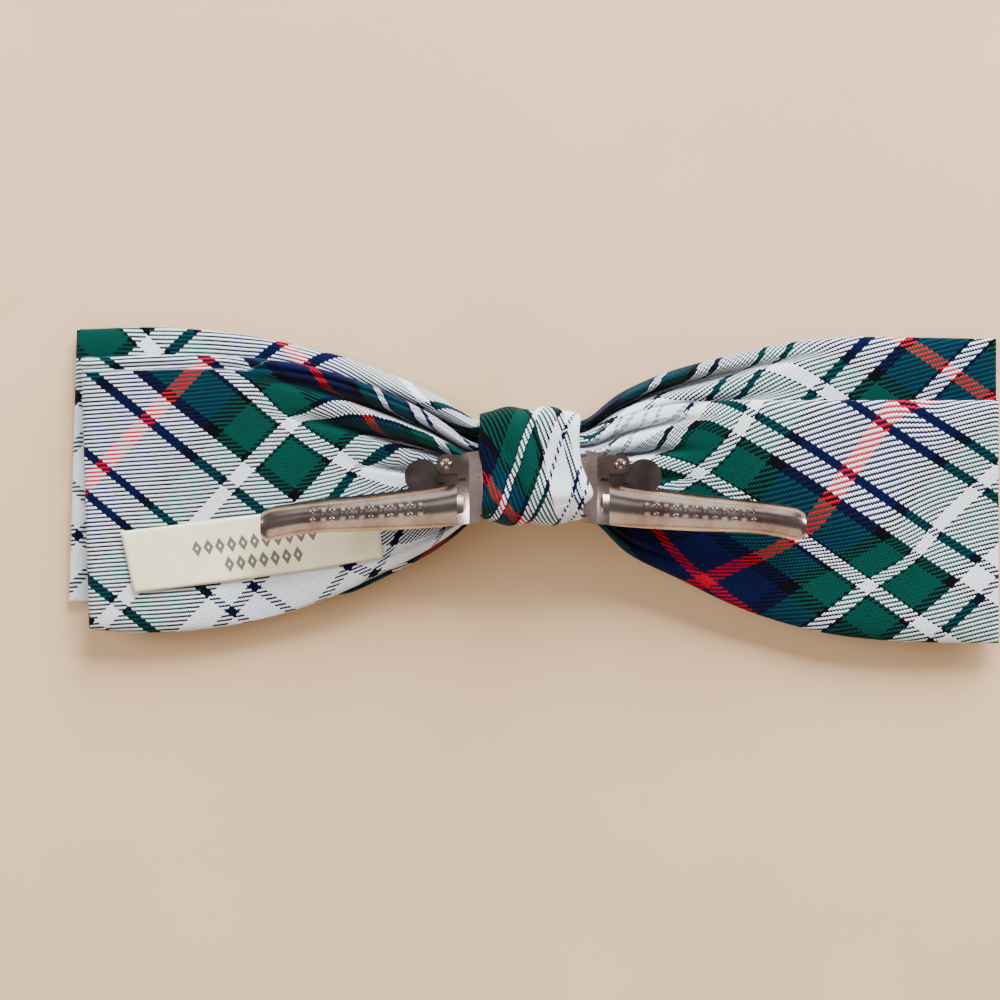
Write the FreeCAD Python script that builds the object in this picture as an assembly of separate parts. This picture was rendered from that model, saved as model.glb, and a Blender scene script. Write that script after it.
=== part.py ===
import FreeCAD, Part
import math
import os

from FreeCAD import Vector

# Pre-tied clip-on bow tie, lying face down: +X along the wings, +Y to the upper edge,
# +Z out of the back, where the collar clip is. All sizes are in millimetres.

# Whole bow
REST_Z = 0.0             # face of the knot and tips of the front blade

# Cloth
SHELL_WALL = 0.5         # one turned ply with its seam allowance
FIT_GAP = 0.06           # room between a shell and what it encloses
BLADE_HELD = 6.0         # the blades are at full height to here, and flat from there on
BLADE_FLAT = 48.0

# Knot band: a strip wrapped round the gathered middle
BAND_LEFT = -6.4
BAND_RIGHT = 5.9
BAND_LOW_Y = -5.0
BAND_HIGH_Y = 9.6
BAND_TOP_Z = 10.9
BAND_CLOTH = 0.6
BAND_LINING = 0.35
BAND_CORNER = 1.6

# Clip: stamped from thin nickel-plated steel
SHEET = 0.45
BASE_Z = 7.65            # underside of the fixed lower plate
BASE_TOP = BASE_Z + SHEET
HINGE_X = 5.0            # hinge axes, parallel to Y, just inside the band's edges
HINGE_Z = 8.95
PIN_R = 0.35
PIN_CLEARANCE = 0.03
KNUCKLE_R = 0.72
ROOT_LOW_Y = -3.7        # width of an arm's root inside the band
ROOT_HIGH_Y = 3.4
SHOULDER_X = 6.55        # where the root widens, just outside the band
ARM_BOTTOM = 8.3         # lower edges of the arm's channel, over the jaw
SLIT_WIDTH = 0.4
STOP_X = 10.75           # domed stop rivet on each arm's upper tab
STOP_Y = 2.5
STOP_HEAD_R = 0.8
STOP_SHANK_R = 0.4
TAB_R = 1.25

# Spring: a small double-legged torsion spring round each pin
WIRE_R = 0.14
COIL_R = 0.56
COIL_TURNS = 4

# Knuckles along a hinge, as spans in Y
ARM_KNUCKLES = ((-3.7, -2.7), (1.4, 2.6))
BASE_EARS = ((-2.6, -1.9), (0.6, 1.3))
COIL_SPAN = (-1.75, 0.45)

# Label: a woven strip lying on the left wing
LABEL_LEFT = -51.5
LABEL_RIGHT = -19.4
LABEL_WIDTH = 7.7
LABEL_THICKNESS = 0.25

# Each blade's outline: distance from the middle, lower edge, upper edge
FRONT_LEFT = ((6.5, -3.3, 7.7), (11.0, -5.6, 10.6), (16.0, -8.6, 13.1), (23.4, -11.6, 15.9),
              (31.0, -13.2, 17.8), (40.0, -14.2, 19.3), (49.0, -14.6, 19.9), (57.9, -14.8, 19.6))
FRONT_RIGHT = ((6.5, -3.3, 8.0), (10.2, -5.6, 11.1), (16.7, -8.8, 14.1), (24.4, -11.8, 16.2),
               (31.0, -13.4, 17.7), (38.2, -14.2, 18.6), (48.0, -14.8, 18.6), (58.4, -15.2, 18.4))
BACK_LEFT = ((6.5, -3.6, 4.8), (12.2, -7.5, 8.6), (19.5, -11.3, 12.2), (27.2, -14.7, 14.8),
             (35.0, -17.0, 16.0), (42.5, -18.2, 16.3), (49.5, -18.6, 16.2), (56.1, -18.2, 15.9))
BACK_RIGHT = ((6.5, -3.6, 6.0), (11.5, -8.4, 8.6), (17.5, -11.4, 10.0), (25.3, -15.2, 10.6),
              (31.7, -17.4, 10.6), (38.2, -18.9, 10.6), (47.0, -19.7, 10.6), (58.4, -19.9, 10.6))
WAIST = (0.0, -3.3, 7.6)

# How far an end edge leans: change of X for one millimetre of Y
END_LEAN = {"front_left": 0.029, "back_left": -0.030, "front_right": 0.0, "back_right": 0.0}


def rise_to_knot(distance):
    """1 under the knot band, easing to 0 where a wing lies flat."""
    share = min(max(distance - BLADE_HELD, 0.0) / (BLADE_FLAT - BLADE_HELD), 1.0)
    return (1.0 - share) ** 3


def front_levels(distance):
    """Underside and top of the front blade at a distance from the middle."""
    rise = rise_to_knot(distance)
    return REST_Z + 0.05 + 1.35 * rise, 1.9 + 2.3 * rise


def back_levels(distance):
    """Underside and top of the back blade at a distance from the middle."""
    rise = rise_to_knot(distance)
    return 2.05 + 2.35 * rise, 3.95 + 3.35 * rise


def smooth_rows(rows, parts):
    """Outline rows with parts - 1 more between each two, on a smooth curve through them."""
    finer = []
    last = len(rows) - 1
    for index in range(last):
        before, start, end, after = (rows[max(index - 1, 0)], rows[index], rows[index + 1],
                                     rows[min(index + 2, last)])
        for part in range(parts):
            t = part / parts
            span = end[0] - start[0]
            row = [start[0] + span * t]
            for column in (1, 2):
                rise = (end[column] - before[column]) / (end[0] - before[0]) * span
                leave = (after[column] - start[column]) / (after[0] - start[0]) * span
                row.append((2 * t ** 3 - 3 * t ** 2 + 1) * start[column]
                           + (t ** 3 - 2 * t ** 2 + t) * rise
                           + (3 * t ** 2 - 2 * t ** 3) * end[column]
                           + (t ** 3 - t ** 2) * leave)
            finer.append(tuple(row))
    finer.append(rows[last])
    return finer


def flat_oval(x, lean, low_y, high_y, low_z, high_z, inset):
    """Closed smooth section across a blade: a flat superellipse, in a plane that may lean."""
    middle_y = (low_y + high_y) / 2
    middle_z = (low_z + high_z) / 2
    half_y = (high_y - low_y) / 2 - inset
    half_z = (high_z - low_z) / 2 - inset
    points = []
    count = 20
    for step in range(count):
        turn = 2 * math.pi * (step + 0.5) / count
        across = math.copysign(abs(math.cos(turn)) ** 0.55, math.cos(turn))
        up = math.copysign(abs(math.sin(turn)) ** 0.70, math.sin(turn))
        y = middle_y + half_y * across
        points.append(Vector(x + lean * (y - middle_y), y, middle_z + half_z * up))
    curve = Part.BSplineCurve()
    curve.interpolate(Points=points, PeriodicFlag=True)
    return Part.Wire([curve.toShape()])


def blade(left, right, levels, leans, inset, end_inset):
    """One whole blade, wing tip to wing tip, shrunk by inset all round."""
    sections = []
    for side, rows, lean in ((-1, left, leans[0]), (1, right, leans[1])):
        half = []
        for distance, low_y, high_y in smooth_rows((WAIST,) + rows, 3)[1:]:
            share = distance / rows[-1][0]
            if distance == rows[-1][0]:
                distance -= end_inset
            low_z, high_z = levels(distance)
            half.append(flat_oval(side * distance, lean * share, low_y, high_y, low_z, high_z, inset))
        sections.append(half)
    low_z, high_z = levels(0.0)
    waist = flat_oval(WAIST[0], 0.0, WAIST[1], WAIST[2], low_z, high_z, inset)
    wires = sections[0][::-1] + [waist] + sections[1]
    return Part.makeLoft(wires, True, True)


def blade_pair(left, right, levels, leans):
    """Shell with a closed cavity, and the interlining strip that fills it."""
    outer = blade(left, right, levels, leans, 0.0, 0.0)
    cavity = blade(left, right, levels, leans, SHELL_WALL, 1.0)
    lining = blade(left, right, levels, leans, SHELL_WALL + FIT_GAP, 1.0 + FIT_GAP)
    return outer.cut(cavity), lining


def rounded_ring(inset, thickness):
    """Part of the knot band: a rounded box tube along X, inset from the outside."""
    wires = []
    for depth in (inset, inset + thickness):
        low_y = BAND_LOW_Y + depth
        high_y = BAND_HIGH_Y - depth
        low_z = REST_Z + depth
        high_z = BAND_TOP_Z - depth
        box = Part.makeBox(BAND_RIGHT - BAND_LEFT, high_y - low_y, high_z - low_z,
                           Vector(BAND_LEFT, low_y, low_z))
        along = [edge for edge in box.Edges
                 if abs(edge.Vertexes[0].X - edge.Vertexes[-1].X) > 1.0]
        wires.append(box.makeFillet(max(BAND_CORNER - depth, 0.5), along))
    return wires[0].cut(wires[1])


def knot_band():
    """Outer cloth of the band with the loose folded corner of its sewn end."""
    ring = rounded_ring(0.0, BAND_CLOTH)
    flap_z = BAND_TOP_Z - BAND_CLOTH
    corner = [Vector(BAND_RIGHT - 1.0, -3.4, flap_z), Vector(7.25, -1.4, flap_z),
              Vector(BAND_RIGHT - 1.0, 1.4, flap_z)]
    face = Part.Face(Part.makePolygon(corner + [corner[0]]))
    return ring.fuse(face.extrude(Vector(0, 0, BAND_CLOTH))).removeSplitter()


def knot_stitches():
    """Five short slanted stitches along the band's closing edge."""
    stitches = []
    for index in range(5):
        y = -3.0 + 2.3 * index
        start = Vector(3.2, y, BAND_TOP_Z + 0.09)
        stitch = Part.makeCylinder(0.09, 1.3, start, Vector(1.0, 0.55, 0.0))
        stitches.append(stitch)
    return Part.makeCompound(stitches)


def gather_thread():
    """Three turns of strong thread round both gathered blades, beside each other."""
    depth = BAND_CLOTH + BAND_LINING + 0.12
    turns = []
    for index in range(3):
        x = -0.7 + 0.6 * index
        loops = []
        for extra in (0.0, 0.25):
            low_y = BAND_LOW_Y + depth + extra
            high_y = BAND_HIGH_Y - depth - extra
            low_z = REST_Z + depth + extra
            high_z = BASE_Z - 0.05 - extra
            box = Part.makeBox(0.28, high_y - low_y, high_z - low_z, Vector(x, low_y, low_z))
            along = [edge for edge in box.Edges
                     if abs(edge.Vertexes[0].X - edge.Vertexes[-1].X) > 0.1]
            loops.append(box.makeFillet(1.2 - extra, along))
        turns.append(loops[0].cut(loops[1]))
    return Part.makeCompound(turns)


def label_level(x):
    """Height of the back blade's upper face under the label."""
    return back_levels(abs(x))[1]


def label():
    """Thin woven strip, tilted with the clip, following the fall of the wing."""
    wires = []
    steps = 6
    for index in range(steps + 1):
        share = index / steps
        x = LABEL_LEFT + (LABEL_RIGHT - LABEL_LEFT) * share
        top_y = -5.9 + 4.6 * share
        low = label_level(x) + 0.12
        lean = 0.22 * (1 - share) + 0.10 * share
        corners = []
        for y, z in ((top_y, low), (top_y - LABEL_WIDTH, low),
                     (top_y - LABEL_WIDTH, low + LABEL_THICKNESS), (top_y, low + LABEL_THICKNESS)):
            corners.append(Vector(x + lean * (top_y - y), y, z))
        wires.append(Part.makePolygon(corners + [corners[0]]))
    return Part.makeLoft(wires, True, True)


def label_tacks():
    """Hidden tack stitches that pass from the label's turned ends into the blade."""
    tacks = []
    for x, top_y in ((LABEL_LEFT + 1.6, -5.8), (LABEL_RIGHT - 1.2, -1.6)):
        for drop in (1.4, 3.8, 6.2):
            z = label_level(x)
            tacks.append(Part.makeCylinder(0.1, 0.1, Vector(x, top_y - drop, z)))
    return Part.makeCompound(tacks)


def smooth_edge(points):
    """Smooth curve through a few outline points at one height."""
    curve = Part.BSplineCurve()
    curve.interpolate(Points=[Vector(x, y, 0) for x, y in points])
    return curve.toShape()


def straight(a, b):
    return Part.makeLine(Vector(a[0], a[1], 0), Vector(b[0], b[1], 0))


def plate(edges, z, thickness):
    """Flat sheet from a closed outline."""
    wire = Part.Wire(Part.__sortEdges__(edges))
    face = Part.Face(wire)
    face.translate(Vector(0, 0, z))
    return face.extrude(Vector(0, 0, thickness))


def mirrored(shape):
    return shape.mirror(Vector(0, 0, 0), Vector(1, 0, 0))


def jaw_outline():
    """Right lower jaw: its upper edge shows as a thin rim beside the arm above it."""
    upper = ((7.0, 0.9), (12.0, -0.05), (18.0, -0.9), (26.0, -1.8), (31.8, -2.6))
    lower = ((7.0, -4.3), (12.0, -4.9), (20.0, -5.4), (28.0, -5.7), (31.6, -6.2))
    tip = Part.Arc(Vector(31.8, -2.6, 0), Vector(33.2, -4.6, 0), Vector(31.6, -6.2, 0)).toShape()
    return [smooth_edge(upper), tip, smooth_edge(lower), straight(upper[0], lower[0])]


def ear(span):
    """Upright ear on the lower plate with the hinge pin's hole."""
    low_y, high_y = span
    post = Part.makeBox(2 * KNUCKLE_R, high_y - low_y, HINGE_Z - BASE_Z,
                        Vector(HINGE_X - KNUCKLE_R, low_y, BASE_Z))
    crown = Part.makeCylinder(KNUCKLE_R, high_y - low_y, Vector(HINGE_X, low_y, HINGE_Z),
                              Vector(0, 1, 0))
    hole = Part.makeCylinder(PIN_R, high_y - low_y, Vector(HINGE_X, low_y, HINGE_Z),
                             Vector(0, 1, 0))
    return post.fuse(crown).cut(hole)


def clip_base_plate():
    """Bridge under the band, a jaw and a rounded lobe on each side, ears and grip teeth."""
    bridge = Part.makeBox(14.2, 6.2, SHEET, Vector(-7.1, -4.0, BASE_Z))
    halves = []
    jaw = plate(jaw_outline(), BASE_Z, SHEET)
    lobe = Part.makeCylinder(2.2, SHEET, Vector(13.7, 1.0, BASE_Z))
    neck = Part.makeBox(7.0, 2.4, SHEET, Vector(6.4, 0.2, BASE_Z))
    half = jaw.fuse([lobe, neck] + [ear(span) for span in BASE_EARS])
    for index in range(6):
        x = 18.0 + 2.4 * index
        tooth = Part.makeCone(0.35, 0.0, 0.3, Vector(x, -3.1 - 0.13 * index, BASE_TOP - 0.02))
        half = half.fuse(tooth)
    halves.append(half)
    halves.append(mirrored(half))
    return bridge.fuse(halves).removeSplitter()


def arch(x, low_y, high_y, crown_z, bottom_z):
    """Half-open arch section of an arm: straight across the bottom, bowed above."""
    middle = (low_y + high_y) / 2
    start = Vector(x, low_y, bottom_z)
    end = Vector(x, high_y, bottom_z)
    bow = Part.Arc(start, Vector(x, middle, crown_z), end).toShape()
    return Part.Wire([bow, Part.makeLine(end, start)])


def arm_channel():
    """Convex stamped channel that tapers, then flares to a rounded spoon tip."""
    rows = ((8.6, -4.9, 0.3, 9.35), (13.0, -5.35, -0.6, 9.5), (18.0, -5.65, -1.2, 9.6),
            (23.0, -5.85, -1.75, 9.6), (27.5, -6.05, -2.25, 9.5), (30.5, -6.5, -2.65, 9.5),
            (32.6, -6.9, -3.0, 9.4), (33.7, -6.4, -3.7, 9.1))
    outer = []
    inner = []
    for x, low_y, high_y, crown_z in rows:
        outer.append(arch(x, low_y, high_y, crown_z, ARM_BOTTOM))
    for x, low_y, high_y, crown_z in rows[:-1]:
        inner.append(arch(x, low_y + SHEET, high_y - SHEET, crown_z - SHEET, ARM_BOTTOM))
    solid = Part.makeLoft(outer, True, False, False, 3)
    hollow = Part.makeLoft(inner, True, False, False, 3)
    return solid.cut(hollow)


def embossing():
    """Raised plain ornament on the crown: a long bead and two small beads, repeated."""
    shapes = []
    for index in range(6):
        x = 14.0 + 2.4 * index
        y = -3.1 - 0.06 * (x - 14.0)
        long_bead = Part.makeSphere(1.25, Vector(x, y, 8.52))
        slab = Part.makeBox(0.9, 2.2, 3.0, Vector(x - 0.45, y - 1.1, 8.3))
        shapes.append(long_bead.common(slab))
        for side in (-0.55, 0.55):
            shapes.append(Part.makeSphere(0.42, Vector(x + 1.2, y + side, 9.28)))
    return shapes


def arm_root():
    """Flat root sheet with the upper tab, the slit below the tab and the hinge knuckles."""
    low_z = HINGE_Z - SHEET / 2
    corners = ((HINGE_X, ROOT_LOW_Y), (SHOULDER_X, ROOT_LOW_Y), (SHOULDER_X, -4.7), (9.4, -5.0),
               (9.4, 3.1), (8.6, 3.9), (SHOULDER_X, 4.2), (SHOULDER_X, ROOT_HIGH_Y),
               (HINGE_X, ROOT_HIGH_Y))
    outline = [straight(a, b) for a, b in zip(corners, corners[1:] + corners[:1])]
    sheet = plate(outline, low_z, SHEET)
    tab = Part.makeBox(STOP_X - 8.6, 2 * TAB_R - 0.2, SHEET,
                       Vector(8.6, STOP_Y - TAB_R + 0.1, low_z))
    disc = Part.makeCylinder(TAB_R, SHEET, Vector(STOP_X, STOP_Y, low_z))
    knuckles = []
    for low_y, high_y in ARM_KNUCKLES:
        knuckles.append(Part.makeCylinder(KNUCKLE_R, high_y - low_y,
                                          Vector(HINGE_X, low_y, HINGE_Z), Vector(0, 1, 0)))
    return sheet.fuse([tab, disc] + knuckles)


def clip_arm():
    """Right arm: root, channel and ornament in one stamping."""
    arm = arm_root().fuse([arm_channel()] + embossing())
    slit = Part.makeBox(5.0, SLIT_WIDTH, 4.0, Vector(8.3, 0.45, 7.0))
    slit.rotate(Vector(8.3, 0.45, 0), Vector(0, 0, 1), -7.0)
    notch_low = BASE_EARS[0][0] - 0.1
    notch_high = BASE_EARS[1][1] + 0.1
    notch = Part.makeBox(2.4, notch_high - notch_low, 4.0, Vector(HINGE_X - 1.3, notch_low, 7.0))
    head_room = Part.makeBox(2.2, 2.0, 4.0, Vector(HINGE_X - 1.3, ARM_KNUCKLES[1][1], 7.0))
    bore = Part.makeCylinder(PIN_R + PIN_CLEARANCE, 12.0, Vector(HINGE_X, -6.0, HINGE_Z),
                             Vector(0, 1, 0))
    rivet_hole = Part.makeCylinder(STOP_SHANK_R, 4.0, Vector(STOP_X, STOP_Y, 7.0))
    return arm.cut([slit, notch, head_room, bore, rivet_hole]).removeSplitter()


def stop_rivet():
    """Domed rivet: its tail lands on the lobe of the lower plate and sets the jaw gap."""
    top_z = HINGE_Z + SHEET / 2
    low_z = HINGE_Z - SHEET / 2
    centre = Vector(STOP_X, STOP_Y, top_z - 0.15)
    dome = Part.makeSphere(STOP_HEAD_R, centre)
    above = Part.makeBox(4, 4, 4, Vector(STOP_X - 2, STOP_Y - 2, top_z))
    head = dome.common(above)
    shank = Part.makeCylinder(STOP_SHANK_R, top_z - low_z, Vector(STOP_X, STOP_Y, low_z))
    tail = Part.makeCylinder(0.7, low_z - BASE_TOP - 0.03, Vector(STOP_X, STOP_Y, BASE_TOP + 0.03))
    return head.fuse([shank, tail]).removeSplitter()


def hinge_pin():
    """Pin held in the lower plate's ears, with one head beyond the upper knuckle."""
    low_y = ARM_KNUCKLES[0][0]
    head_y = ARM_KNUCKLES[1][1] + 0.1
    pin = Part.makeCylinder(PIN_R, head_y - low_y, Vector(HINGE_X, low_y, HINGE_Z),
                            Vector(0, 1, 0))
    head = Part.makeCylinder(PIN_R + 0.2, 0.3, Vector(HINGE_X, head_y, HINGE_Z), Vector(0, 1, 0))
    return pin.fuse(head)


def torsion_spring():
    """Coil round the pin; one leg bears on the lower plate, the other reaches to the arm."""
    low_y, high_y = COIL_SPAN
    pitch = (high_y - low_y - 2 * WIRE_R) / COIL_TURNS
    helix = Part.makeHelix(pitch, pitch * COIL_TURNS, COIL_R)
    section = Part.Wire([Part.Circle(Vector(COIL_R, 0, 0), Vector(0, 1, 0), WIRE_R).toShape()])
    coil = Part.Wire(helix.Edges).makePipeShell([section], True, True)
    coil.rotate(Vector(0, 0, 0), Vector(1, 0, 0), -90)
    coil.translate(Vector(HINGE_X, low_y + WIRE_R, HINGE_Z))
    lower_leg = Part.makeCylinder(WIRE_R, 1.7, Vector(HINGE_X - 1.7, low_y + WIRE_R, HINGE_Z - COIL_R),
                                  Vector(1, 0, 0))
    upper_leg = Part.makeCylinder(WIRE_R, 0.9, Vector(HINGE_X, high_y - WIRE_R, HINGE_Z + COIL_R),
                                  Vector(1, 0, -0.35))
    return coil, lower_leg, upper_leg


def write(node, shape):
    shape.exportStep("parts/" + node + ".step")


os.makedirs("parts", exist_ok=True)
front_leans = (END_LEAN["front_left"], END_LEAN["front_right"])
back_leans = (END_LEAN["back_left"], END_LEAN["back_right"])
front_shell, front_lining = blade_pair(FRONT_LEFT, FRONT_RIGHT, front_levels, front_leans)
back_shell, back_lining = blade_pair(BACK_LEFT, BACK_RIGHT, back_levels, back_leans)
write("front_blade_shell", front_shell)
write("front_blade_interlining", front_lining)
write("back_blade_shell", back_shell)
write("back_blade_interlining", back_lining)
write("knot_band", knot_band())
write("knot_band_lining", rounded_ring(BAND_CLOTH, BAND_LINING))
write("knot_stitches", knot_stitches())
write("gather_thread", gather_thread())
write("label", label())
write("label_tacks", label_tacks())
write("clip_base_plate", clip_base_plate())

coil, lower_leg, upper_leg = torsion_spring()
right_pieces = {
    "clip_arm": clip_arm(),
    "stop_rivet": stop_rivet(),
    "hinge_pin": hinge_pin(),
    "torsion_spring": coil.fuse([lower_leg, upper_leg]),
}
for name, shape in right_pieces.items():
    write("right_" + name, shape)
    write("left_" + name, mirrored(shape))
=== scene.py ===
import math

import bpy
import numpy as np
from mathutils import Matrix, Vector


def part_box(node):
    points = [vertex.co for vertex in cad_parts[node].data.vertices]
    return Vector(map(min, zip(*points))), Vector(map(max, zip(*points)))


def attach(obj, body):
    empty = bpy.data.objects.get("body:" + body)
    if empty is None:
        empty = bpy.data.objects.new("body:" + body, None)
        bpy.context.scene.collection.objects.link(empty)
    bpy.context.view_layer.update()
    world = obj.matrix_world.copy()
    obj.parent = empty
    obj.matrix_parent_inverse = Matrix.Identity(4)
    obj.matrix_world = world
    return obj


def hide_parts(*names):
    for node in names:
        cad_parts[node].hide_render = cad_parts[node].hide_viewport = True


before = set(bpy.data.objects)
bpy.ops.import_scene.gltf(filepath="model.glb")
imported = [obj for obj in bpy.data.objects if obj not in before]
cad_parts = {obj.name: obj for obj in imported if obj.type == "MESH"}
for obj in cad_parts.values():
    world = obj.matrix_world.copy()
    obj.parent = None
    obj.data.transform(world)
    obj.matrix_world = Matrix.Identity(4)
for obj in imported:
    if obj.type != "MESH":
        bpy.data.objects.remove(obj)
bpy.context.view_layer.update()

# Lengths in this script are in millimetres until mesh_piece() turns them into metres.
MM = 0.001
SETT_HALF = 34.8         # tartan: from the middle of the red line to the middle of the white ground
YARN = 0.27              # pitch of the yarns in both directions
STRIP = 17.3             # half the width of a blade's cloth strip
BAND_STRETCH = 2.0       # the knot band's cloth is pulled this much narrower
BAND_MIDDLE_Y = 2.3      # middle of the knot band's ring across the bow
BAND_MIDDLE_Z = 5.45     # middle of the ring through the bow
BAND_BACK_Z = 10.9       # the ring's highest surface
BAND_PLY = 0.62          # thickness of the band's cloth
PLEAT_START = 5.0        # distance from the middle at which the pleats leave the knot
LABEL_WIDTH = 7.7        # across the label, as it lies
ROOT_END = 9.4           # distance from the middle at which an arm's flat root ends


# ---------------------------------------------------------------- colours and node helpers
def linear(red, green, blue):
    """Scene-linear colour from the everyday 0 to 255 values."""
    out = []
    for value in (red, green, blue):
        share = value / 255.0
        out.append(share / 12.92 if share <= 0.04045 else ((share + 0.055) / 1.055) ** 2.4)
    return (*out, 1.0)


WHITE = linear(226, 233, 243)
GREEN = linear(0, 60, 53)
BLACK = linear(7, 8, 14)
NAVY = linear(9, 15, 56)
LINE_NAVY = linear(5, 11, 42)
RED = linear(168, 0, 30)


class Nodes:
    """Small helper that adds and links shader nodes."""

    def __init__(self, name):
        self.material = bpy.data.materials.new(name)
        self.material.use_nodes = True
        self.tree = self.material.node_tree
        self.shader = self.tree.nodes["Principled BSDF"]

    def put(self, socket, value):
        if isinstance(value, bpy.types.NodeSocket):
            self.tree.links.new(value, socket)
        else:
            socket.default_value = value

    def math(self, operation, *values):
        node = self.tree.nodes.new("ShaderNodeMath")
        node.operation = operation
        for index, value in enumerate(values):
            self.put(node.inputs[index], value)
        return node.outputs[0]

    def mix(self, share, a, b, blend="MIX"):
        node = self.tree.nodes.new("ShaderNodeMix")
        node.data_type = "RGBA"
        node.blend_type = blend
        self.put(node.inputs["Factor"], share)
        self.put(node.inputs[6], a)
        self.put(node.inputs[7], b)
        return node.outputs[2]

    def ramp(self, share, stops, mode="LINEAR"):
        node = self.tree.nodes.new("ShaderNodeValToRGB")
        node.color_ramp.interpolation = mode
        elements = node.color_ramp.elements
        for index, (place, colour) in enumerate(stops):
            element = elements[index] if index < 2 else elements.new(place)
            element.position = place
            element.color = colour
        self.put(node.inputs[0], share)
        return node.outputs[0]

    def noise(self, scale, detail=2.0, vector=None, stretch=None):
        if vector is None:
            vector = self.tree.nodes.new("ShaderNodeTexCoord").outputs["Object"]
        if stretch is not None:
            mapping = self.tree.nodes.new("ShaderNodeMapping")
            mapping.inputs["Scale"].default_value = stretch
            self.put(mapping.inputs["Vector"], vector)
            vector = mapping.outputs[0]
        node = self.tree.nodes.new("ShaderNodeTexNoise")
        node.inputs["Scale"].default_value = scale
        node.inputs["Detail"].default_value = detail
        self.put(node.inputs["Vector"], vector)
        return node.outputs["Fac"]

    def uv(self, layer):
        node = self.tree.nodes.new("ShaderNodeUVMap")
        node.uv_map = layer
        split = self.tree.nodes.new("ShaderNodeSeparateXYZ")
        self.put(split.inputs[0], node.outputs[0])
        return split.outputs[0], split.outputs[1]

    def bump(self, height, strength, distance):
        node = self.tree.nodes.new("ShaderNodeBump")
        node.inputs["Strength"].default_value = strength
        node.inputs["Distance"].default_value = distance
        self.put(node.inputs["Height"], height)
        self.put(self.shader.inputs["Normal"], node.outputs[0])


# ---------------------------------------------------------------- materials
def sett_colour(nodes, place):
    """Colour of a yarn from its place in the tartan's sett, which mirrors at both ends."""
    share = nodes.math("DIVIDE", nodes.math("PINGPONG", place, SETT_HALF), SETT_HALF)
    stripes = ((0.0, RED), (0.85, NAVY), (5.9, BLACK), (7.9, GREEN), (12.0, BLACK),
               (12.4, WHITE), (14.2, BLACK), (14.6, GREEN), (19.5, BLACK), (20.8, WHITE),
               (23.9, LINE_NAVY), (25.05, WHITE), (32.1, LINE_NAVY), (33.25, WHITE))
    return nodes.ramp(share, [(start / SETT_HALF, colour) for start, colour in stripes], "CONSTANT")


def tartan():
    """Two-up two-down twill: warp and weft both follow the sett, so the stripes step with it."""
    nodes = Nodes("tartan_twill")
    warp_place, weft_place = nodes.uv("sett")
    warp_run, weft_run = nodes.uv("weave")
    warp_gain, weft_gain = nodes.uv("gain")
    warp_yarn = nodes.math("DIVIDE", warp_run, YARN)
    weft_yarn = nodes.math("DIVIDE", weft_run, YARN)
    warp_index = nodes.math("FLOOR", warp_yarn)
    weft_index = nodes.math("FLOOR", weft_yarn)
    warp_across = nodes.math("FRACT", warp_yarn)
    weft_across = nodes.math("FRACT", weft_yarn)

    def snapped(place, gain, across):
        offset = nodes.math("MULTIPLY", nodes.math("SUBTRACT", 0.5, across), YARN)
        return nodes.math("ADD", place, nodes.math("MULTIPLY", offset, gain))

    warp = sett_colour(nodes, snapped(warp_place, warp_gain, warp_across))
    weft = sett_colour(nodes, snapped(weft_place, weft_gain, weft_across))
    phase = nodes.math("FLOORED_MODULO", nodes.math("SUBTRACT", warp_index, weft_index), 4.0)
    warp_up = nodes.math("LESS_THAN", phase, 1.5)
    top = nodes.mix(warp_up, weft, warp)
    under = nodes.mix(warp_up, warp, weft)

    def edge(across):
        return nodes.math("MULTIPLY", nodes.math("ABSOLUTE", nodes.math("SUBTRACT", across, 0.5)), 2.0)

    def lerp(share, a, b):
        return nodes.math("MULTIPLY_ADD", share, nodes.math("SUBTRACT", b, a), a)

    side = lerp(warp_up, edge(weft_across), edge(warp_across))
    warp_float = nodes.math("SUBTRACT", weft_yarn, nodes.math("SUBTRACT", warp_index, 1.0))
    weft_float = nodes.math("SUBTRACT", warp_yarn, nodes.math("ADD", weft_index, 2.0))
    run = nodes.math("FLOORED_MODULO", lerp(warp_up, weft_float, warp_float), 4.0)
    along = nodes.math("DIVIDE", run, 2.0)
    arch = nodes.math("SINE", nodes.math("MULTIPLY", along, math.pi))
    pale_spread = nodes.math("SMOOTH_MIN", 1.0, nodes.math("POWER", side, 3.0), 0.1)
    cover = nodes.mix(nodes.math("MULTIPLY", pale_spread, 0.08), top,
                      nodes.mix(1.0, top, under, "LIGHTEN"))
    # Painted shade: the colour darkens towards each yarn's sides (gap) and towards the ends of its floats
    # (tip), where the yarns dip between their neighbours. The slub noise is real unevenness of the yarn.
    gap = nodes.math("MULTIPLY", nodes.math("POWER", side, 3.5), 0.5)
    slub = nodes.math("MULTIPLY", nodes.noise(900.0, 3.0), 0.16)
    float_end_shade = nodes.math("MULTIPLY", nodes.math("POWER", nodes.math("SUBTRACT", 1.0, arch), 2.0), 0.3)
    shade = nodes.math("SUBTRACT", nodes.math("SUBTRACT", nodes.math("SUBTRACT", 1.1, gap), float_end_shade), slub)
    tone = nodes.tree.nodes.new("ShaderNodeCombineColor")
    for index in range(3):
        nodes.put(tone.inputs[index], shade)
    nodes.put(nodes.shader.inputs["Base Color"], nodes.mix(1.0, cover, tone.outputs[0], "MULTIPLY"))
    height = nodes.math("MULTIPLY", nodes.math("SUBTRACT", 1.0, nodes.math("POWER", side, 2.0)),
                        nodes.math("MULTIPLY_ADD", arch, 0.7, 0.3))
    nodes.bump(height, 0.75, 0.00012)
    nodes.shader.inputs["Roughness"].default_value = 0.72
    nodes.shader.inputs["Specular IOR Level"].default_value = 0.08
    nodes.shader.inputs["Sheen Weight"].default_value = 0.03
    nodes.shader.inputs["Sheen Roughness"].default_value = 0.4
    return nodes.material


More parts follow.
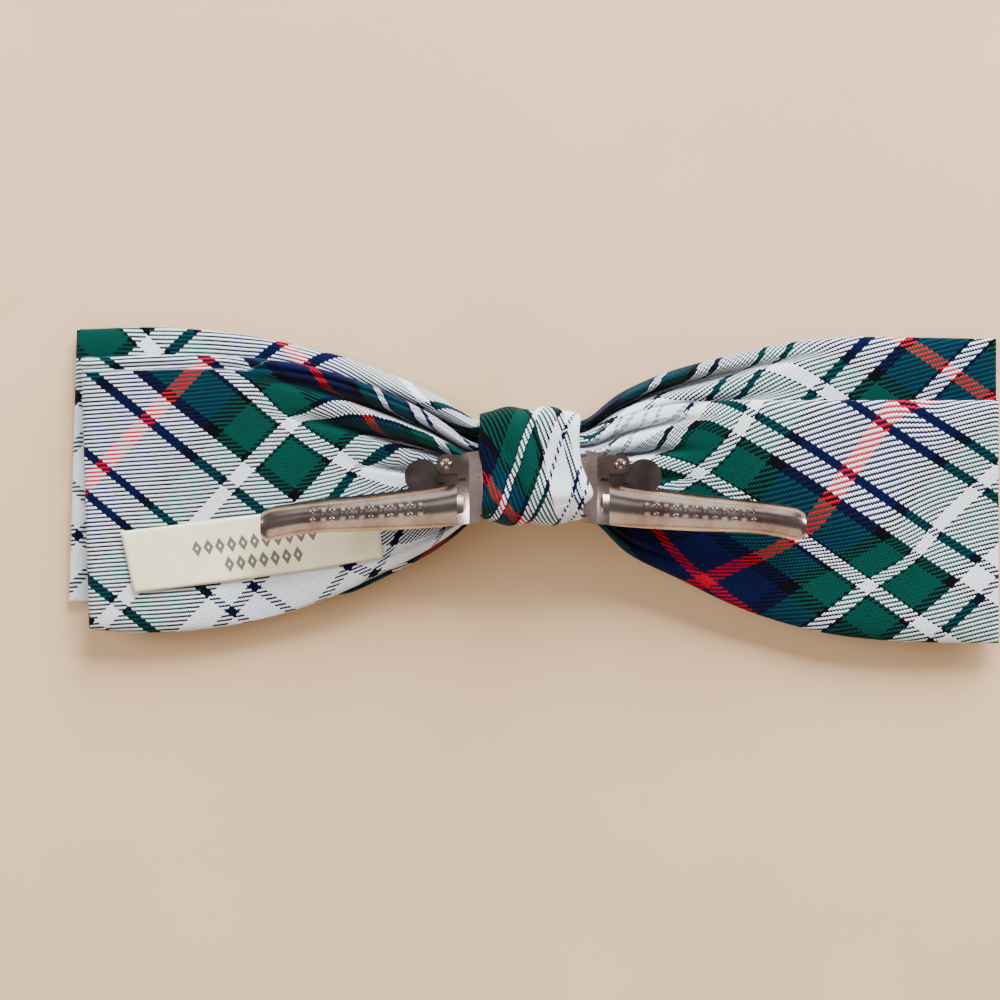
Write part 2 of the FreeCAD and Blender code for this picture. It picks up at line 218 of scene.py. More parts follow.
def plain_weave(name, colour, dark, scale):
    """Undyed cloth or satin: fine crossed threads with some unevenness."""
    nodes = Nodes(name)
    run_x, run_y = nodes.uv("weave")
    wave_x = nodes.math("SINE", nodes.math("MULTIPLY", run_x, scale))
    wave_y = nodes.math("SINE", nodes.math("MULTIPLY", run_y, scale * 1.3))
    height = nodes.math("MULTIPLY_ADD", wave_x, 0.35, nodes.math("MULTIPLY", wave_y, 0.65))
    stain = nodes.noise(140.0, 4.0)
    # The thread waves also shift the colour: painted shade in the weave's hollows, on top of the random
    # stain noise.
    stain_and_thread_shade = nodes.math("MULTIPLY_ADD", height, 0.08, stain)
    nodes.put(nodes.shader.inputs["Base Color"],
              nodes.ramp(stain_and_thread_shade, ((0.28, dark), (0.62, colour))))
    nodes.bump(height, 0.35, 0.00006)
    nodes.shader.inputs["Roughness"].default_value = 0.6
    nodes.shader.inputs["Sheen Weight"].default_value = 0.2
    return nodes.material


def label_satin():
    """Cream woven satin with two rows of plain black woven lozenges in place of any words."""
    nodes = Nodes("label_satin")
    run_x, run_y = nodes.uv("weave")
    rib = nodes.math("SINE", nodes.math("MULTIPLY", run_x, 22.0))
    fine = nodes.math("SINE", nodes.math("MULTIPLY", run_y, 30.0))
    stain = nodes.noise(160.0, 4.0)
    # The ribs shift the ground's colour a little: painted shade in their hollows. The noise is random
    # staining.
    ground = nodes.ramp(nodes.math("MULTIPLY_ADD", rib, 0.03, stain),
                        ((0.25, linear(206, 198, 160)), (0.62, linear(228, 222, 190))))

    def motif(row, start, count):
        """Row of small lozenges, each a steep diamond, between two places along the label."""
        offset = nodes.math("SUBTRACT", run_x, start)
        cell = nodes.math("DIVIDE", offset, 1.5)
        across = nodes.math("ABSOLUTE", nodes.math("SUBTRACT", nodes.math("FRACT", cell), 0.5))
        up = nodes.math("ABSOLUTE", nodes.math("SUBTRACT", run_y, row))
        size = nodes.math("ADD", nodes.math("MULTIPLY", across, 2.0), nodes.math("MULTIPLY", up, 0.85))
        ring = nodes.math("ABSOLUTE", nodes.math("SUBTRACT", size, 0.56))
        inside = nodes.math("LESS_THAN", ring, 0.32)
        after = nodes.math("GREATER_THAN", offset, 0.0)
        before = nodes.math("LESS_THAN", cell, float(count))
        return nodes.math("MULTIPLY", inside, nodes.math("MULTIPLY", after, before))

    marks = nodes.math("MAXIMUM", motif(2.1, 12.2, 7), motif(4.5, 8.4, 11))
    nodes.put(nodes.shader.inputs["Base Color"],
              nodes.mix(nodes.math("MULTIPLY", marks, 0.86), ground, linear(34, 32, 34)))
    nodes.bump(nodes.math("MULTIPLY_ADD", fine, 0.4, rib), 0.3, 0.00004)
    nodes.shader.inputs["Roughness"].default_value = 0.5
    nodes.shader.inputs["Sheen Weight"].default_value = 0.3
    return nodes.material


def metal(name, colour, worn, rough, dents=0.2, dish=0.0):
    """Worn bright plating: fine scratches, dull patches, dark specks, soft dents, a dished root."""
    nodes = Nodes(name)
    scratch = nodes.noise(700.0, 3.0, stretch=(0.25, 4.0, 1.0))
    patch = nodes.noise(190.0, 5.0)
    speck = nodes.math("GREATER_THAN", nodes.noise(1500.0, 2.0), 0.74)
    base = nodes.ramp(patch, ((0.36, worn), (0.56, colour)))
    nodes.put(nodes.shader.inputs["Base Color"],
              nodes.mix(nodes.math("MULTIPLY", speck, 0.5), base, linear(60, 48, 38)))
    roughness = nodes.math("MULTIPLY_ADD", scratch, 0.1, rough)
    nodes.put(nodes.shader.inputs["Roughness"], roughness)
    height = nodes.math("MULTIPLY", nodes.noise(110.0, 0.0), dents)
    if dish:
        place = nodes.tree.nodes.new("ShaderNodeSeparateXYZ")
        nodes.put(place.inputs[0], nodes.tree.nodes.new("ShaderNodeTexCoord").outputs["Object"])
        from_middle = nodes.math("ABSOLUTE", nodes.math("DIVIDE", place.outputs[0], MM))
        near = nodes.math("SUBTRACT", ROOT_END, from_middle)
        near = nodes.math("MULTIPLY", nodes.math("MINIMUM", nodes.math("MAXIMUM", near, 0.0), 1.5), dish)
        across = nodes.math("SUBTRACT", 4.0, nodes.math("DIVIDE", place.outputs[1], MM))
        height = nodes.math("ADD", height, nodes.math("MULTIPLY", near, across))
    nodes.bump(height, 1.0, MM)
    nodes.shader.inputs["Metallic"].default_value = 1.0
    return nodes.material


def thread_material():
    """Twisted white cotton."""
    nodes = Nodes("cotton_thread")
    run_x, run_y = nodes.uv("weave")
    twist = nodes.math("SINE", nodes.math("MULTIPLY_ADD", run_x, 26.0, nodes.math("MULTIPLY", run_y, 9.0)))
    # Colour follows the twist: painted shade in the twist's grooves, paler on its crests.
    nodes.put(nodes.shader.inputs["Base Color"],
              nodes.ramp(nodes.math("MULTIPLY_ADD", twist, 0.5, 0.5),
                         ((0.0, linear(176, 172, 160)), (0.5, linear(234, 232, 224)))))
    nodes.bump(twist, 0.5, 0.00004)
    nodes.shader.inputs["Roughness"].default_value = 0.8
    return nodes.material


# ---------------------------------------------------------------- meshes
def mesh_piece(name, points, faces, layers, material, body="bow"):
    """A smooth mesh object from points in millimetres, with its named UV layers, riding a body."""
    mesh = bpy.data.meshes.new(name)
    mesh.from_pydata([tuple(point) for point in np.asarray(points) * MM], [], faces)
    for layer_name, values in layers.items():
        layer = mesh.uv_layers.new(name=layer_name)
        index = np.zeros(len(mesh.loops), np.int32)
        mesh.loops.foreach_get("vertex_index", index)
        layer.data.foreach_set("uv", np.asarray(values, np.float32)[index].ravel())
    mesh.polygons.foreach_set("use_smooth", [True] * len(mesh.polygons))
    mesh.materials.append(material)
    mesh.validate()
    mesh.update()
    piece = bpy.data.objects.new(name, mesh)
    bpy.context.scene.collection.objects.link(piece)
    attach(piece, body)
    return piece


def tube_piece(name, centre, sides, radius, material):
    """Closed round thread along one or more lists of points."""
    points = []
    faces = []
    weave = []
    for path in centre:
        path = np.asarray(path, float)
        start = len(points)
        tangent = np.gradient(path, axis=0)
        tangent /= np.linalg.norm(tangent, axis=1, keepdims=True)
        up = np.array([0.31, 0.2, 0.93])
        side = np.cross(tangent, up)
        side /= np.linalg.norm(side, axis=1, keepdims=True)
        other = np.cross(side, tangent)
        length = np.concatenate([[0.0], np.cumsum(np.linalg.norm(np.diff(path, axis=0), axis=1))])
        last = len(path) - 1
        for row in range(len(path)):
            size = radius * (0.35 if row in (0, last) else 1.0)
            for step in range(sides):
                turn = 2 * math.pi * step / sides
                points.append(path[row] + size * (math.cos(turn) * side[row] + math.sin(turn) * other[row]))
                weave.append((length[row], turn))
        for row in range(last):
            for step in range(sides):
                nxt = (step + 1) % sides
                a = start + row * sides
                faces.append((a + step, a + nxt, a + sides + nxt, a + sides + step))
        faces.append(tuple(start + step for step in reversed(range(sides))))
        faces.append(tuple(start + last * sides + step for step in range(sides)))
    return mesh_piece(name, points, faces, {"weave": weave}, material)


def two_sided(name, top, bottom, layers, material):
    """Closed mesh of two point grids that share their border points."""
    rows, columns = top.shape[:2]
    number = np.arange(rows * columns).reshape(rows, columns)
    inner = np.ones((rows, columns), bool)
    inner[0] = inner[-1] = False
    inner[:, 0] = inner[:, -1] = False
    below = number.copy()
    below[inner] = rows * columns + np.arange(inner.sum())
    points = np.concatenate([top.reshape(-1, 3), bottom[inner]])
    faces = []
    for r in range(rows - 1):
        for c in range(columns - 1):
            faces.append((number[r, c], number[r + 1, c], number[r + 1, c + 1], number[r, c + 1]))
            faces.append((below[r, c], below[r, c + 1], below[r + 1, c + 1], below[r + 1, c]))
    spread = {}
    for layer_name, (upper, lower) in layers.items():
        spread[layer_name] = np.concatenate([upper.reshape(-1, 2), lower[inner]])
    return mesh_piece(name, points, [tuple(int(i) for i in face) for face in faces], spread, material)


def smooth_step(value):
    value = np.clip(value, 0.0, 1.0)
    return value * value * (3 - 2 * value)


# ---------------------------------------------------------------- blades
def sections(node, stations):
    """Lowest and highest Y and Z of a CAD node where planes across X cut it, in millimetres."""
    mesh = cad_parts[node].data
    points = np.array([vertex.co for vertex in mesh.vertices], float) / MM
    edges = np.array([edge.vertices for edge in mesh.edges])
    a = points[edges[:, 0]]
    b = points[edges[:, 1]]
    rows = []
    for x in stations:
        cut = (a[:, 0] - x) * (b[:, 0] - x) < 0
        share = ((x - a[cut, 0]) / (b[cut, 0] - a[cut, 0]))[:, None]
        hit = a[cut] + share * (b[cut] - a[cut])
        rows.append((hit[:, 1].min(), hit[:, 1].max(), hit[:, 2].min(), hit[:, 2].max()))
    return np.array(rows)


# A pleat: wing (-1 left, 1 right), its place across the blade at the knot and at its far end
# (-1 lower edge, 1 upper edge), half width there, rise (negative is a groove), how far it
# reaches from the knot.
BACK_PLEATS = (
    (-1, 0.93, 0.89, 0.035, -0.6, 160),
    (-1, 0.87, 0.97, 0.14, 1.6, 36), (-1, 0.72, 0.88, 0.07, -2.2, 36), (-1, 0.56, 0.76, 0.13, 1.7, 30),
    (-1, 0.40, 0.60, 0.08, -2.6, 30), (-1, 0.20, 0.40, 0.14, 0.9, 22), (-1, 0.04, 0.20, 0.07, -1.9, 20),
    (-1, -0.14, 0.04, 0.12, 0.6, 15), (-1, -0.30, -0.10, 0.07, -1.2, 15), (-1, -0.60, -0.45, 0.12, 0.5, 18),
    (-1, -0.82, -0.84, 0.08, -0.9, 22),
    (1, 0.88, 0.93, 0.14, 0.7, 22), (1, 0.70, 0.84, 0.07, -1.8, 20), (1, 0.54, 0.66, 0.12, 1.1, 18),
    (1, 0.38, 0.50, 0.07, -2.0, 18), (1, 0.22, 0.34, 0.12, 0.8, 19), (1, 0.06, 0.16, 0.07, -1.6, 17),
    (1, -0.12, 0.00, 0.12, 0.5, 15), (1, -0.34, -0.22, 0.08, -1.2, 16), (1, -0.62, -0.50, 0.10, 0.4, 20),
    (1, -0.82, -0.80, 0.07, -0.9, 24))
FRONT_PLEATS = (
    (-1, 0.84, 0.93, 0.13, 1.9, 32), (-1, 0.66, 0.78, 0.07, -1.8, 30), (-1, 0.40, 0.50, 0.14, 0.6, 20),
    (-1, -0.10, -0.16, 0.12, -0.8, 22), (-1, -0.50, -0.60, 0.12, -0.7, 22),
    (1, 0.90, 0.96, 0.09, 1.9, 36), (1, 0.78, 0.89, 0.06, -2.2, 36), (1, 0.62, 0.78, 0.11, 2.1, 32),
    (1, 0.46, 0.62, 0.07, -2.4, 30), (1, 0.32, 0.50, 0.12, 1.2, 22),
    (1, -0.20, -0.25, 0.12, -0.8, 22), (1, -0.60, -0.62, 0.12, -0.7, 22))

# Pitch of the drawn warp and weft yarns on each wing: the pulled cloth looks coarser
# on the right wing. It is not a thread count.
PITCH = {-1: (0.19, 0.19), 1: (0.29, 0.19)}

# Where the tartan lies on each wing: place in the sett at the middle of the bow, and its change
# for one millimetre of X and of Y, for the warp stripes and then for the weft stripes.
BACK_STRIPES = {-1: ((-0.4, -0.65, -0.79), (40.8, 0.73, -0.69)),
                1: ((-0.8, 0.60, 0.81), (-26.3, 0.71, -0.74))}
FRONT_STRIPES = {-1: ((-8.4, -0.71, -0.71), (68.8, 0.71, -0.71)),
                 1: ((-50.8, 0.69, 1.0), (42.3, -0.75, 0.73))}


def hidden_cloth(x, v, pleats):
    """How much cloth the creases swallow between the middle of the blade and a place on it."""
    taken = np.zeros(np.broadcast(x, v).shape)
    for wing, near, far, width, height, reach in pleats:
        if height > -1.0:
            continue
        share = np.clip((np.abs(x) - PLEAT_START) / reach, 0.0, 1.0)
        centre = near + (far - near) * share
        way = 1.0 if near > 0 else -1.0
        past = smooth_step(way * (v - centre) / width + 0.5)
        taken += np.where(np.sign(x) == wing, way * past * 5.0 * -height * (1 - smooth_step(share)), 0.0)
    return taken


def pleat_height(x, v, pleats):
    """Rise of the cloth from its pleats at distance x along and share v across."""
    rise = np.zeros(np.broadcast(x, v).shape)
    for wing, near, far, width, height, reach in pleats:
        away = np.abs(x) - PLEAT_START
        share = np.clip(away / reach, 0.0, 1.0)
        centre = near + (far - near) * share
        t = np.abs(v - centre) / width
        profile = (1 - np.clip(t, 0, 1) ** 2) ** 1.1
        crease = np.clip(1 - t, 0, 1) ** 1.2
        shape = profile if height > 0 else crease
        fade = (1 - smooth_step(share)) * smooth_step((away + 3.0) / 6.0)
        rise += np.where(np.sign(x) == wing, height * fade * shape, 0.0)
    return rise


def blade(name, node, lean, pleats, stripes, seed, material, peek=None, sway=False):
    """One gathered blade as a closed form: turned edges, folded ends, pleats to the knot."""
    low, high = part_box(node)
    end_left = low.x / MM + abs(lean) * STRIP
    end_right = high.x / MM
    known = np.linspace(end_left + 1.5, end_right - 1.0, 84)
    cut = sections(node, known)
    tuck = 1.0
    inner_x = np.linspace(end_left + tuck, end_right - tuck, 270)
    round_end = 1 - np.cos(np.linspace(0, math.pi / 2, 6))[1:]
    x_line = np.concatenate([end_left + tuck * round_end, inner_x[1:-1],
                             (end_right - tuck * round_end)[::-1]])
    x_line = np.sort(np.concatenate([[end_left], x_line, [end_right]]))
    y_low, y_high, z_low, z_high = [np.interp(x_line, known, cut[:, k]) for k in range(4)]
    if peek:
        other = sections(peek, known)
        window = smooth_step((x_line + 30) / 8) * smooth_step((-4 - x_line) / 6)
        beyond = np.interp(x_line, known, other[:, 0]) - 0.75
        y_low = np.where(window > 0, y_low + (np.minimum(y_low, beyond) - y_low) * window, y_low)
    kernel = np.hanning(9)
    kernel /= kernel.sum()
    smooth = [np.convolve(np.pad(row, 4, "edge"), kernel, "valid") for row in (y_low, y_high, z_low, z_high)]
    y_low, y_high, z_low, z_high = smooth
    nearest_end = np.minimum(x_line - end_left, end_right - x_line)
    end_round = np.sqrt(np.clip(1 - (1 - np.clip(nearest_end / tuck, 0, 1)) ** 2, 0, 1))
    v = np.sin(np.linspace(-1, 1, 130) * math.pi / 2)
    v = 0.35 * v + 0.65 * np.linspace(-1, 1, 130)
    grid_x = x_line[:, None] + 0 * v[None]
    grid_v = v[None] + 0 * x_line[:, None]
    middle = ((y_low + y_high) / 2)[:, None]
    half = ((y_high - y_low) / 2)[:, None]
    grid_y = middle + half * grid_v
    waves = 0.30 * np.sin(grid_x * 0.19 + seed + 1.6 * np.sin(grid_y * 0.15 + seed))
    waves += 0.14 * np.sin(grid_x * 0.40 - grid_y * 0.27 + 2.1 * seed)
    waves *= smooth_step((np.abs(grid_x) - 9) / 12)
    rise = pleat_height(grid_x, grid_v, pleats) + waves
    edge = np.sqrt(np.clip(1 - np.abs(grid_v) ** 10, 0, 1)) * end_round[:, None]
    mid_z = ((z_low + z_high) / 2)[:, None]
    thick = ((z_high - z_low) / 2)[:, None] * edge
    belly = 0.25 * (1 - grid_v ** 2) * smooth_step(nearest_end / 8)[:, None]
    top_z = mid_z + thick * (0.86 + belly) + rise * np.sqrt(edge)
    low_z = mid_z - thick * (0.86 + belly) + 0.25 * np.clip(rise, 0, 9)
    floor_z = 0.02
    low_z = np.maximum(low_z, floor_z)
    top_z = np.maximum(top_z, low_z + 0.3 * edge)
    share_left = np.clip(x_line / end_left, 0, 1)[:, None]
    shear = np.where(grid_x < 0, lean * share_left, 0.0) * (grid_y - middle)
    top = np.stack([grid_x + shear, grid_y, top_z], axis=2)
    bottom = np.stack([grid_x + shear, grid_y, low_z], axis=2)
    bottom[0], bottom[-1] = top[0], top[-1]
    bottom[:, 0], bottom[:, -1] = top[:, 0], top[:, -1]

    layers = {"sett": [], "weave": [], "gain": []}
    for surface in (top, bottom):
        step = np.hypot(np.diff(surface[:, :, 1], axis=1), np.diff(surface[:, :, 2], axis=1))
        arc = np.concatenate([np.zeros((len(x_line), 1)), np.cumsum(step, axis=1)], axis=1)
        length = arc[:, -1:]
        cloth = arc - length / 2
        pull = np.maximum(2 * STRIP / length, 1.0) ** 0.72
        cloth_y = middle + cloth * pull + hidden_cloth(grid_x, grid_v, pleats)
        cloth_x = surface[:, :, 0]
        sett = np.zeros(surface.shape[:2] + (2,))
        gain = np.zeros(surface.shape[:2] + (2,))
        weave = np.zeros(surface.shape[:2] + (2,))
        for wing in (-1, 1):
            here = np.sign(surface[:, :, 0]) == wing
            for family in (0, 1):
                start, per_x, per_y = stripes[wing][family]
                place = start + per_x * cloth_x + per_y * cloth_y
                if sway and (wing, family) == (1, 1):
                    place += (0.33 * (grid_y - 2) * smooth_step((52 - grid_x) / 8)
                              * smooth_step((grid_y + 13) / 9) * smooth_step((grid_x - 20) / 10))
                if sway and (wing, family) == (-1, 0):
                    place += 11.0 * (grid_v > 0.895 + 0.105 * smooth_step((grid_x + 36) / 4))
                way = 1.0 if per_x > 0 else -1.0
                scale = way * YARN / PITCH[wing][family]
                steep = math.hypot(per_x, per_y)
                sett[..., family] = np.where(here, place, sett[..., family])
                weave[..., family] = np.where(here, scale * place / steep, weave[..., family])
                gain[..., family] = np.where(here, steep / scale, gain[..., family])
        layers["sett"].append(sett)
        layers["weave"].append(weave)
        layers["gain"].append(gain)
    return two_sided(name, top, bottom, layers, material), top, bottom


def inner_strip(name, node, top, bottom, material):
    """Interlining: a thin strip half way between a blade's two plies."""
    rows = slice(8, -8, 3)
    columns = slice(5, -5, 3)
    down = bottom[rows, columns]
    gap = np.pad((top - bottom)[..., 2], 5, "edge")
    size = top.shape[:2]
    room = np.min([gap[5 + i:5 + i + size[0], 5 + j:5 + j + size[1]]
                   for i in (-4, 0, 4) for j in range(-5, 6)], axis=0)[rows, columns]
    middle = down.copy()
    middle[..., 2] += room * 0.5
    half = np.minimum(room * 0.3, 0.4)
    half[0] = half[-1] = 0
    half[:, 0] = half[:, -1] = 0
    upper = middle.copy()
    lower = middle.copy()
    upper[..., 2] += half
    lower[..., 2] -= half
    flat = middle[..., :2]
    piece = two_sided(name, upper, lower, {"weave": (flat, flat)}, material)
    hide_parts(node)
    return piece


# ---------------------------------------------------------------- knot band
def ring_point(turn, low, high, power):
    """Point of a rounded box section in Y and Z, by angle, between two corners."""
    cosine = math.cos(turn)
    sine = math.sin(turn)
    y = (low[0] + high[0]) / 2 + (high[0] - low[0]) / 2 * math.copysign(abs(cosine) ** power, cosine)
    z = (low[1] + high[1]) / 2 + (high[1] - low[1]) / 2 * math.copysign(abs(sine) ** power, sine)
    return y, z


def band_shape(inset, rows, columns, spread):
    """Grid of points round the band, its edges turned in, with soft creases along it."""
    low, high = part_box("knot_band")
    low = np.array(low) / MM
    high = np.array(high) / MM
    left = low[0]
    right = -low[0] - 0.5
    grid = np.zeros((rows, columns, 3))
    for r in range(rows):
        share = -1 + 2 * r / (rows - 1)
        for c in range(columns):
            turn = 2 * math.pi * c / columns
            y, z = ring_point(turn, (low[1] + inset, low[2] + inset),
                              (high[1] - inset, high[2] - inset), 0.45)
            back = smooth_step((z - 4.0) / 5.0)
            lean = 0.05 * (BAND_MIDDLE_Y - y) * back
            edge = abs(share) ** 6
            crease = 0.2 * math.sin(7.5 * share + 0.42 * y + 0.8) * (1 - edge) * spread
            crown = 0.35 * (1 - share ** 2) * spread - 0.45 * edge * spread
            centre = np.array([BAND_MIDDLE_Y, BAND_MIDDLE_Z])
            away = np.array([y, z]) - centre
            away /= np.linalg.norm(away)
            if z < low[2] + 0.8:
                crown = min(crown, 0.0)
                crease = min(crease, 0.0)
            y += away[0] * (crown + crease - 0.35 * spread)
            z += away[1] * (crown + crease - 0.35 * spread)
            x = (left + right) / 2 + (right - left) / 2 * share + lean
            bulge = math.exp(-((y + 1.3) / (1.9 if y > -1.3 else 1.1)) ** 2)
            flap = bulge * back * smooth_step((share + 0.1) / 1.1) * spread
            x += 1.25 * flap * share
            z += 0.45 * bulge * back * math.sin(math.pi * min(max(share, 0), 1)) * spread
            step = smooth_step((x - 1.9 + 0.22 * y + 0.35) / 0.5) * back * spread
            z += 0.38 * step - 0.1
            x += 0.25 * math.sin(0.8 * y + 1.0) * share ** 2 * back * spread
            grid[r, c] = (x, y, max(z, low[2] + 0.01))
    return grid


def closed_band(name, outer, inner, layers, material):
    """Closed mesh from an outer and an inner ring grid joined along both rims."""
    rows, columns = outer.shape[:2]
    points = np.concatenate([outer.reshape(-1, 3), inner.reshape(-1, 3)])
    shift = rows * columns
    faces = []
    for r in range(rows - 1):
        for c in range(columns):
            n = (c + 1) % columns
            a, b = r * columns + c, r * columns + n
            faces.append((a, a + columns, b + columns, b))
            faces.append((shift + a, shift + b, shift + b + columns, shift + a + columns))
    for c in range(columns):
        n = (c + 1) % columns
        faces.append((c, n, shift + n, shift + c))
        last = (rows - 1) * columns
        faces.append((last + c, shift + last + c, shift + last + n, last + n))
    spread = {key: np.concatenate([value.reshape(-1, 2)] * 2) for key, value in layers.items()}
    return mesh_piece(name, points, faces, spread, material)


def knot(material, cloth):
    """The wrapped band, its lining, and the folded corner of its loose end."""
    rows, columns = 60, 220
    outer = band_shape(0.0, rows, columns, 1.0)
    inner = band_shape(BAND_PLY, rows, columns, 0.25)
    x, y, z = outer[..., 0], outer[..., 1], outer[..., 2]
    height = y + (BAND_BACK_Z - z) * np.where(y > BAND_MIDDLE_Y, 1.0, -1.0)
    across = x + 1.75 - 0.33 * (height - 3.4)
    weft = np.maximum(13.3 + np.where(across > 0, 2.45, BAND_STRETCH) * across, 6.0)
    slope = x - 1.9 + 0.22 * height
    beside = x + 0.667 * height + 5.6
    turned = np.sign(beside) * np.maximum(1.1 * np.abs(beside), BAND_STRETCH * np.abs(beside) - 0.7)
    turned = np.clip(turned, np.where(height > 2, 1.4, -9.0), 11.8)
    warp = 20.8 + np.where(slope > 0, 1.12, BAND_STRETCH) * slope
    sett = np.stack([warp, weft], axis=2)
    weave = 1.45 * np.stack([0.65 * x + 0.75 * height, -0.65 * x + 0.3 * height], axis=2)
    gain = np.zeros(sett.shape)
    band = closed_band("knot_wrap", outer, inner, {"sett": sett, "weave": weave, "gain": gain},
                       material)
    uv = band.data.uv_layers["sett"].data
    turned = np.concatenate([turned.ravel()] * 2)
    slope = np.concatenate([slope.ravel()] * 2)
    for face in band.data.polygons:
        if slope[list(face.vertices)].mean() < -3.0:
            for loop, vertex in zip(face.loop_indices, face.vertices):
                uv[loop].uv[0] = turned[vertex]
    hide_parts("knot_band")
    lining_outer = band_shape(0.66, 24, 120, 0.2)
    lining_inner = band_shape(0.9, 24, 120, 0.2)
    lining = closed_band("knot_wrap_lining", lining_outer, lining_inner,
                         {"weave": lining_outer[..., :2]}, cloth)
    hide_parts("knot_band_lining")
    return band


# ---------------------------------------------------------------- label and threads
def label_piece(top, material):
    """Woven strip lying on the left wing, thicker where its two cut ends are turned under."""
    low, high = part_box("label")
    left = low.x / MM
    right = high.x / MM
    rows, columns = 90, 28
    tree_x = top[..., 0].ravel()
    tree_y = top[..., 1].ravel()
    tree_z = top[..., 2].ravel()
    grid = np.zeros((rows, columns, 3))
    weave = np.zeros((rows, columns, 2))
    for r in range(rows):
        share = r / (rows - 1)
        for c in range(columns):
            down = LABEL_WIDTH * c / (columns - 1)
            upper_y = -5.9 + 4.6 * share - 0.35 * math.sin(math.pi * share)
            lean = 0.22 * (1 - share) + 0.10 * share
            x = left + (right - 0.8 - left) * share + lean * down
            y = upper_y - down + 0.12 * math.sin(3.1 * share + 0.7)
            near = np.argmin((tree_x - x) ** 2 + (tree_y - y) ** 2)
            z = tree_z[near]
            grid[r, c] = (x, y, z)
            weave[r, c] = ((right - left) * share, LABEL_WIDTH - down)
    kernel = np.hanning(13)
    kernel /= kernel.sum()
    for c in range(columns):
        grid[:, c, 2] = np.convolve(np.pad(grid[:, c, 2], 6, "edge"), kernel, "valid")
    lift = 0.2 + 0.1 * np.sin(np.linspace(0.4, 5.5, rows))[:, None] ** 2
    grid[..., 2] += lift
    turned = np.zeros((rows, columns))
    turned[:9] = 0.22
    turned[-9:] = 0.22
    upper = grid.copy()
    upper[..., 2] += 0.14 + turned * 0.5
    lower = grid.copy()
    lower[..., 2] -= 0.02
    for side in (0, -1):
        lower[side] = upper[side] = (lower[side] + upper[side]) / 2
        lower[:, side] = upper[:, side] = (lower[:, side] + upper[:, side]) / 2
    piece = two_sided("woven_label", upper, lower, {"weave": (weave, weave)}, material)
    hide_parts("label")
    # The visible label is LABEL_WIDTH wide. A declared side may not be under 10 mm, so the flat
    # width counts turned-under long edges, which this mesh doesn't have.
    return piece


def threads(material):
    """Gathering turns, the band's closing stitches and the label's tacks, as twisted thread."""
    low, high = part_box("gather_thread")
    low = np.array(low) / MM
    high = np.array(high) / MM
    turns = []
    for index in range(3):
        x = low[0] + 0.14 + 0.6 * index
        path = []
        for step in range(49):
            y, z = ring_point(2 * math.pi * step / 48, (low[1] + 0.14, low[2] + 0.14),
                              (high[1] - 0.14, high[2] - 0.14), 0.45)
            path.append((x + 0.3 * step / 48, y, z))
        turns.append(path)
    gather = tube_piece("gathering_thread", turns, 8, 0.13, material)
    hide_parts("gather_thread")
    low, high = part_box("knot_stitches")
    low = np.array(low) / MM
    high = np.array(high) / MM
    stitches = []
    for index in range(5):
        start_y = low[1] + 0.1 + index * (high[1] - low[1] - 0.8) / 4
        path = []
        for step in range(9):
            share = step / 8
            path.append((low[0] + 1.1 * share, start_y + 0.6 * share,
                         high[2] - 0.34 + 0.26 * math.sin(math.pi * share)))
        stitches.append(path)
    closing = tube_piece("closing_stitches", stitches, 8, 0.09, material)
    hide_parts("knot_stitches")
    low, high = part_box("label_tacks")
    low = np.array(low) / MM
    high = np.array(high) / MM
    tacks = []
    for x, top_y in ((low[0] + 0.1, -5.8), (high[0] - 0.1, -1.6)):
        for drop in (1.4, 3.8, 6.2):
            z = high[2] if x > -30 else low[2]
            tacks.append([(x + 0.25 * share, top_y - drop, z - 0.12 + 0.1 * math.sin(math.pi * share))
                          for share in np.linspace(0, 1, 7)])
    tack = tube_piece("label_tack_stitches", tacks, 6, 0.07, material)
    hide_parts("label_tacks")


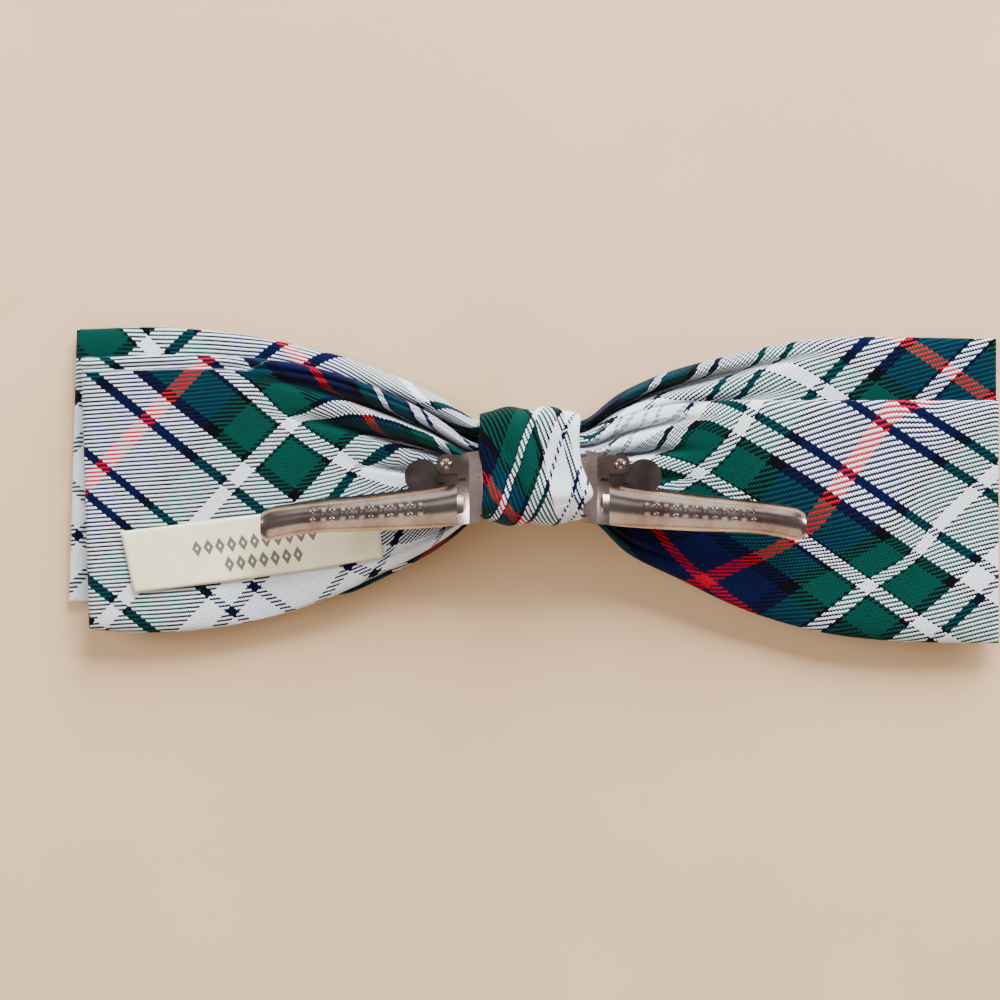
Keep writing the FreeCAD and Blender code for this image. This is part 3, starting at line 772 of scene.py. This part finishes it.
# ---------------------------------------------------------------- studio
def studio():
    """Pale floor, lamps for the cloth, dim cards for the metal to mirror, and the camera."""
    bpy.ops.mesh.primitive_plane_add(size=1.6, location=(0, 0, 0))
    floor = bpy.context.object
    floor.name = "floor"
    nodes = Nodes("floor_paper")
    tone = nodes.ramp(nodes.noise(30.0, 3.0), ((0.3, linear(201, 169, 132)), (0.7, linear(207, 176, 140))))
    nodes.put(nodes.shader.inputs["Base Color"], tone)
    nodes.shader.inputs["Roughness"].default_value = 0.8
    floor.data.materials.append(nodes.material)
    world = bpy.data.worlds.new("studio")
    world.use_nodes = True
    world.node_tree.nodes["Background"].inputs[0].default_value = (0.50, 0.43, 0.45, 1.0)
    world.node_tree.nodes["Background"].inputs[1].default_value = 0.28
    bpy.context.scene.world = world
    for name, place, size, power, colour, mirrored in (
            ("window", (0.14, 0.50, 0.26), 0.36, 15.5, (0.94, 0.98, 1.0), False),
            ("warm_side", (0.10, -0.46, 0.28), 0.50, 1.7, (1.0, 0.80, 0.60), False),
            ("room", (-0.42, 0.08, 0.36), 0.40, 1.8, (1.0, 0.96, 0.92), False),
            ("window_card", (0.05, 0.50, 0.22), 0.34, 0.42, (0.96, 0.98, 1.0), True),
            ("sky_card", (0.0, 0.17, 0.45), 0.15, 0.036, (1.0, 1.0, 0.98), True),
            ("table_card", (0.05, -0.44, 0.30), 0.52, 0.72, (1.0, 0.80, 0.60), True),
            ("glint", (0.34, 0.16, 0.16), 0.12, 0.70, (1.0, 0.97, 0.90), True),
            ("left_glint", (-0.38, 0.10, 0.16), 0.12, 0.70, (1.0, 0.97, 0.92), True)):
        light = bpy.data.lights.new(name, "AREA")
        light.size = size
        light.energy = power
        light.color = colour
        lamp = bpy.data.objects.new(name, light)
        lamp.visible_glossy = mirrored
        lamp.location = place
        lamp.rotation_euler = (-Vector(place)).to_track_quat("-Z", "Y").to_euler()
        bpy.context.scene.collection.objects.link(lamp)
    camera = bpy.data.cameras.new("camera")
    height = 0.40
    camera.sensor_width = 36.0
    camera.lens = 36.0 * (height - 0.004) / 0.125
    eye = bpy.data.objects.new("camera", camera)
    eye.location = (-0.0041, -0.0019, height)
    bpy.context.scene.collection.objects.link(eye)
    bpy.context.scene.camera = eye


# ---------------------------------------------------------------- assembly
twill = tartan()
undyed = plain_weave("undyed_cloth", linear(226, 220, 204), linear(196, 188, 168), 14.0)
cotton = thread_material()
nickel = metal("nickel_plate", linear(208, 194, 186), linear(172, 146, 138), 0.19, 0.22, 0.09)
# The base plate gets a darker copy of the same nickel plating: painted shade and painted dark reflection
# where it lies under the knot.
plate = metal("nickel_base_shaded", linear(180, 172, 164), linear(128, 118, 112), 0.26, 0.5)
steel = metal("spring_steel", linear(150, 148, 146), linear(112, 106, 100), 0.25)

back, back_top, back_bottom = blade("back_blade", "back_blade_shell", -0.03, BACK_PLEATS,
                                    BACK_STRIPES, 0.6, twill, sway=True)
front, front_top, front_bottom = blade("front_blade", "front_blade_shell", 0.029, FRONT_PLEATS,
                                       FRONT_STRIPES, 2.2, twill, peek="back_blade_shell")
for piece, node in ((back, "back_blade_shell"), (front, "front_blade_shell")):
    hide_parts(node)
inner_strip("back_blade_lining", "back_blade_interlining", back_top, back_bottom, undyed)
inner_strip("front_blade_lining", "front_blade_interlining", front_top, front_bottom, undyed)
knot(twill, undyed)
label_piece(back_top, label_satin())
threads(cotton)

for node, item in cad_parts.items():
    if "hinge_pin" in node or "spring" in node:
        shown = steel
    elif node == "clip_base_plate":
        shown = plate
    elif "clip" in node or "rivet" in node:
        shown = nickel
    else:
        continue
    for slot in item.material_slots:
        slot.material = shown

studio()
